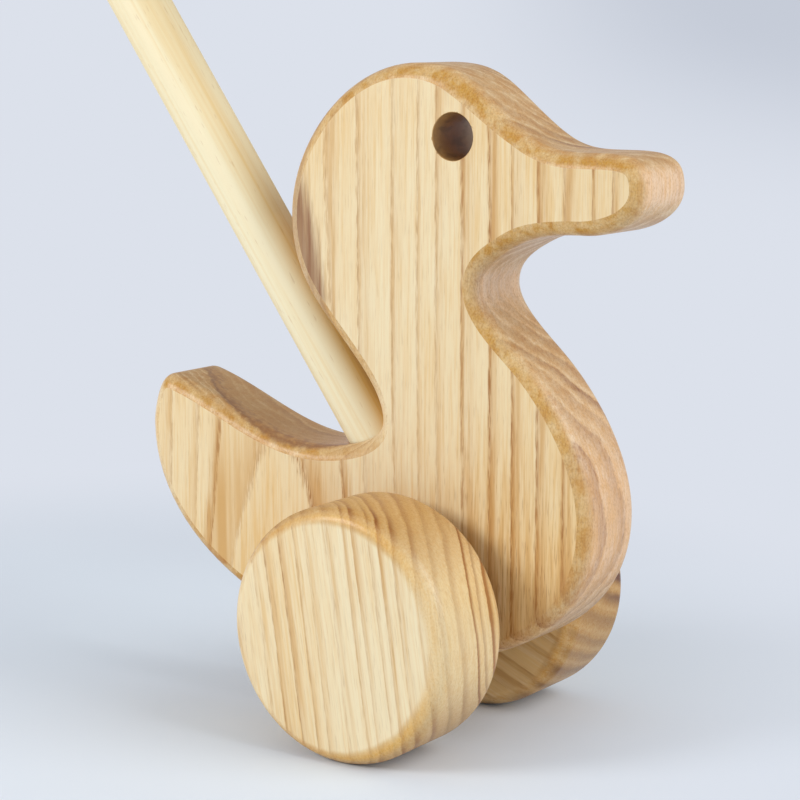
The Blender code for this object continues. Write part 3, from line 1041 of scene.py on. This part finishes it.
def plain_ash(name, heart, years, seed, look, lean, rim=None, honey_side=0.0):
    """Ash with even growth lines, as strong as its look says. Oil starts at a disc's rim, and what has
    no rim is a dull ball."""
    blank = AshBlank(name, heart, years, seed, lean, unrest=WHEEL_UNREST)
    blank.round_reach = (0.45, 0.95)
    blank.onset = look["onset"]
    blank.fade = look["fade"]
    blank.lasting = 0.45
    blank.bands = 0.4
    blank.blotch = 0.5
    blank.scratch = 0.0
    blank.front = 0.35 * blank.front
    blank.pits = 0.4 * blank.pits
    x, _, z = blank.place.parts()
    if rim:
        uneven = 2.4 * (blank.place.noise(0.08, 2.0, seed + 10) - 0.5) + 0.05 * x - 0.4
        blank.edge = ((x * x + z * z) ** 0.5 + uneven).rise(*rim)
        blank.round_oil = 0.9
        dull = 0.0
    else:
        blank.edge = 1.0
        blank.end = abs(blank.facing[2]).rise(0.25, 0.95)
        blank.round_oil = 0.0
        dull = BALL_DULL
    pale_side = x.rise(-14, 12)
    tone = look["tone"] + honey_side * (1 - x.rise(-34, 8) - 0.5 * pale_side)
    line = look["line"] * (1 - 2.0 * honey_side * pale_side)
    colour = ash_colour(blank, line, look["halo"], look["edge"], tone, look["edge colour"])
    colour = oiled(blank, colour, WHEEL_END, HONEY_SIDE, YELLOW_ROUND, END_LINES)
    return satin(blank, colour, dull)


crisp = {"onset": 0.1, "fade": 0.55, "edge colour": RIM_LINE}
soft = {"onset": 0.3, "fade": 0.85, "edge colour": RIM_LINE}
right_look = {**crisp, "line": 0.3, "halo": 0.42, "edge": 1.1, "tone": 0.04}
# The far wheel's stronger tone darkens it: partly its own wood, partly painted shade for its place under
# the duck.
left_look = {**soft, "line": 0.3, "halo": 0.9, "edge": 1.35, "tone": 0.6, "edge colour": FAR_RIM_LINE}
ball_look = {**soft, "line": 0.5, "halo": 0.8, "edge": 0.6, "tone": 0.0}
right_ash = plain_ash("right_wheel_ash", (-105, -155), near_years, 11.0, right_look, 0.15, RIM_OIL, 0.26)
left_ash = plain_ash("left_wheel_ash", (130, 80), far_years, 21.0, left_look, 1.15, RIM_OIL)
knob_ash = plain_ash("ball_ash", (-30, 24), ball_years, 41.0, ball_look, STICK_LEAN)

# %% [markdown]
# ## Birch dowels
# Birch is pale and even. Its rings hardly show, so fine fibres along the dowel, a few short flecks
# and a slow drift of tone carry the look. The stick is painted golden near its foot, on the side
# that faces the duck's head, as painted warm shade from the body. Sanding leaves birch a little
# duller than the oiled ash.

# %% Birch finish
BIRCH_FLECK = screen(196, 152, 98)
FIBRE_SHARPNESS = 0.25
FIBRE_DEPTH = 0.15 * MM


def birch_finish(name, pale, warm, seed, lean=0.0):
    material, shader, place, normal = new_finish(name, lean)
    fibre = place.grained(0.012, 0.9, 3.0, seed)
    band = place.grained(0.01, 0.16, 1.0, seed + 1)
    fleck = place.grained(0.12, 1.6, 1.0, seed + 2).rise(0.66, 0.78)
    end_grain = abs(normal.parts()[2]).rise(0.4, 0.95)
    x, y, z = place.parts()
    near_foot = 1 - z.rise(-235, -120)
    # The side that faces the duck's head is painted golden, most near the foot: painted warm shade from the
    # body. The upper stick also gets a little more golden tone all round.
    warm_shade_and_tone = (0.8 * x + 0.6 * y).rise(-5, 7) * (0.15 + 0.7 * near_foot)
    warm_shade_and_tone = warm_shade_and_tone + 0.1 * z.rise(-180, -80)
    tone = 0.25 * fibre.rise(0.4, 0.75) + 0.2 * band.rise(0.45, 0.75) + warm_shade_and_tone
    colour = tone.between(pale, warm).toned(BIRCH_FLECK, 0.3 * fleck + 0.45 * end_grain)
    connect(shader, "Base Color", colour)
    connect(shader, "Roughness", 0.46 + 0.12 * fibre)
    dented(shader, 1 - 0.5 * fibre - 0.3 * fleck, FIBRE_SHARPNESS, FIBRE_DEPTH)
    print(name, len(material.node_tree.nodes), "nodes")
    return material


STICK_PALE, STICK_WARM = screen(244, 231, 193), screen(227, 184, 100)
AXLE_PALE, AXLE_WARM = screen(232, 208, 164), screen(206, 170, 116)
WASHER_PALE, WASHER_WARM = screen(226, 200, 154), screen(200, 164, 110)
stick_birch = birch_finish("stick_birch", STICK_PALE, STICK_WARM, 51.0, STICK_LEAN)
axle_birch = birch_finish("axle_birch", AXLE_PALE, AXLE_WARM, 61.0)
washer_birch = birch_finish("washer_birch", WASHER_PALE, WASHER_WARM, 71.0)

# %% [markdown]
# ## Assemble the toy
# Every fine piece rides on the body that carries it: the wheels and the axle turn together, and
# everything else stays with the duck. Each piece then stands for its coarse solid.

# %% Ride and replace
ASSEMBLY = [
    (duck, board_ash, "duck", "duck_body", "body_ash"),
    (wheels["right"], right_ash, "wheelset", "right_wheel", "wheel_ash"),
    (wheels["left"], left_ash, "wheelset", "left_wheel", "wheel_ash"),
    (axle, axle_birch, "wheelset", "axle", "axle_birch"),
    (washers["right"], washer_birch, "duck", "right_washer", "washer_birch"),
    (washers["left"], washer_birch, "duck", "left_washer", "washer_birch"),
    (stick, stick_birch, "duck", "push_stick", "stick_birch"),
    (knob, knob_ash, "duck", "grip_knob", "knob_ash"),
]


def corners(piece):
    """Lowest and highest corner of a piece in the world, in mm."""
    bpy.context.view_layer.update()
    points = [piece.matrix_world @ v.co for v in piece.data.vertices]
    return [(1000 * min(p[i] for p in points), 1000 * max(p[i] for p in points)) for i in range(3)]


for piece, finish, body, node, slot in ASSEMBLY:
    piece.data.materials.clear()
    piece.data.materials.append(finish)
    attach(piece, body)
    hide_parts(node)
    solid_box = zip(*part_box(node))
    sides = zip(corners(piece), solid_box)
    off = max(max(abs(a - 1000 * low), abs(b - 1000 * high)) for (a, b), (low, high) in sides)
    print(f"{piece.name}: {len(piece.data.polygons)} faces, within {off:.2f} mm of its solid's box")

# %% [markdown]
# ## Floor and backdrop
# The toy stands on a wide sheet of pale paper that lifts gently far away, so that no horizon shows
# from any side. Lamps near the toy can't light the far paper evenly. A photographer lights it
# apart, and here the far paper shows its own pale colour to the camera, to gloss and to glass. Far
# behind the toy on the right it falls off to dusk. It gives no light to the toy, and the paper
# around the wheels is left plain to take their shadow.

# %% Lay the paper
FLOOR_HALF = 9.0
FLOOR_FLAT_RADIUS = 1.2
FLOOR_LIFT = 0.02
FLOOR_CELLS = 120

sheet = bmesh.new()
bmesh.ops.create_grid(sheet, x_segments=FLOOR_CELLS, y_segments=FLOOR_CELLS, size=FLOOR_HALF)
for point in sheet.verts:
    beyond = max(0, point.co.length - FLOOR_FLAT_RADIUS)
    point.co.z = FLOOR_LIFT * beyond**2
floor_mesh = bpy.data.meshes.new("paper_floor")
sheet.to_mesh(floor_mesh)
sheet.free()
floor_mesh.shade_smooth()
floor = add_object("paper_floor", floor_mesh)
print("floor", 2 * FLOOR_HALF, "m of paper")

# %% Colour the paper
PAPER = screen(233, 243, 252)
BACKDROP = screen(220, 225, 235)
DUSK = screen(198, 204, 216)
PAPER_ROUGHNESS = 0.9
SHADOW_REACH = (120, 330)
DUSK_TO_THE_RIGHT = (100, 900)
DUSK_TO_THE_BACK = (1200, 4500)

paper, paper_shader, paper_place, _ = new_finish("paper")
paper_tone = paper_place.noise(0.004, 3.0, 3.0).between(PAPER, BACKDROP)
connect(paper_shader, "Base Color", paper_tone)
paper_shader.inputs["Roughness"].default_value = PAPER_ROUGHNESS


def seen_directly(wire):
    """1 for rays from the camera, off gloss or through glass, and 0 for those that light the toy."""
    rays = ("Is Camera Ray", "Is Glossy Ray", "Is Transmission Ray")
    direct, gloss, glass = wire.node("ShaderNodeLightPath", output=rays)
    return (direct + gloss + glass).rise(0.0, 1.0)


east, north, _ = paper_place.parts()
far_away = ((east * east + north * north) ** 0.5).rise(*SHADOW_REACH)
to_the_right = picture_right.x * east + picture_right.y * north
to_the_back = picture_right.x * north - picture_right.y * east
dusk = to_the_right.rise(*DUSK_TO_THE_RIGHT) * to_the_back.rise(*DUSK_TO_THE_BACK)
glow = dusk.node("ShaderNodeEmission", {}, {"Color": dusk.between(BACKDROP, DUSK), "Strength": 1.0})
plain = Wire(paper.node_tree, paper_shader.outputs["BSDF"])
shown = far_away * seen_directly(far_away)
mixed = shown.node("ShaderNodeMixShader", {}, {0: shown, 1: plain, 2: glow})
paper_output = paper.node_tree.nodes["Material Output"]
paper.node_tree.links.new(mixed.socket, paper_output.inputs["Surface"])
floor.data.materials.append(paper)
print("paper", len(paper.node_tree.nodes), "nodes")

# %% [markdown]
# ## Light
# Two round lamps of about the same strength stand left and right of the camera. The left one is
# smaller, so its shadows are crisper, and the right one stands higher and is large and soft. A weak
# pale sky fills the shadows. The levels are plain, so a colour looks about as it was written.

# %% Lamps and sky
# Each lamp has its power in watts, its size in metres, and its way: right, to the camera, up.
LAMPS = {
    "left_window": (7.7, 0.5, (-0.86, 0.42, 0.34)),
    "right_window": (7.8, 0.9, (0.72, 0.5, 0.48)),
}
LAMP_DISTANCE = 1.25
SKY_STRENGTH = 0.51
SKY_COLOUR = (0.93, 0.96, 1.0, 1)

for name, (power, size, way) in LAMPS.items():
    lamp_data = bpy.data.lights.new(name, "AREA")
    lamp_data.energy = power
    lamp_data.shape = "DISK"
    lamp_data.size = size
    lamp = bpy.data.objects.new(name, lamp_data)
    lamp_way = (way[0] * picture_right + way[1] * toward_camera + way[2] * picture_up).normalized()
    lamp.location = LOOK_AT + LAMP_DISTANCE * lamp_way
    lamp.rotation_euler = lamp_way.to_track_quat("Z", "Y").to_euler()
    lamp.visible_camera = False
    bpy.context.scene.collection.objects.link(lamp)
    print(f"{name}: {power} W")

world = bpy.data.worlds.new("sky")
world.use_nodes = True
sky = world.node_tree.nodes["Background"]
sky.inputs["Color"].default_value = SKY_COLOUR
sky.inputs["Strength"].default_value = SKY_STRENGTH
bpy.context.scene.world = world
bpy.context.scene.view_settings.view_transform = "Standard"
print("sky", SKY_STRENGTH)
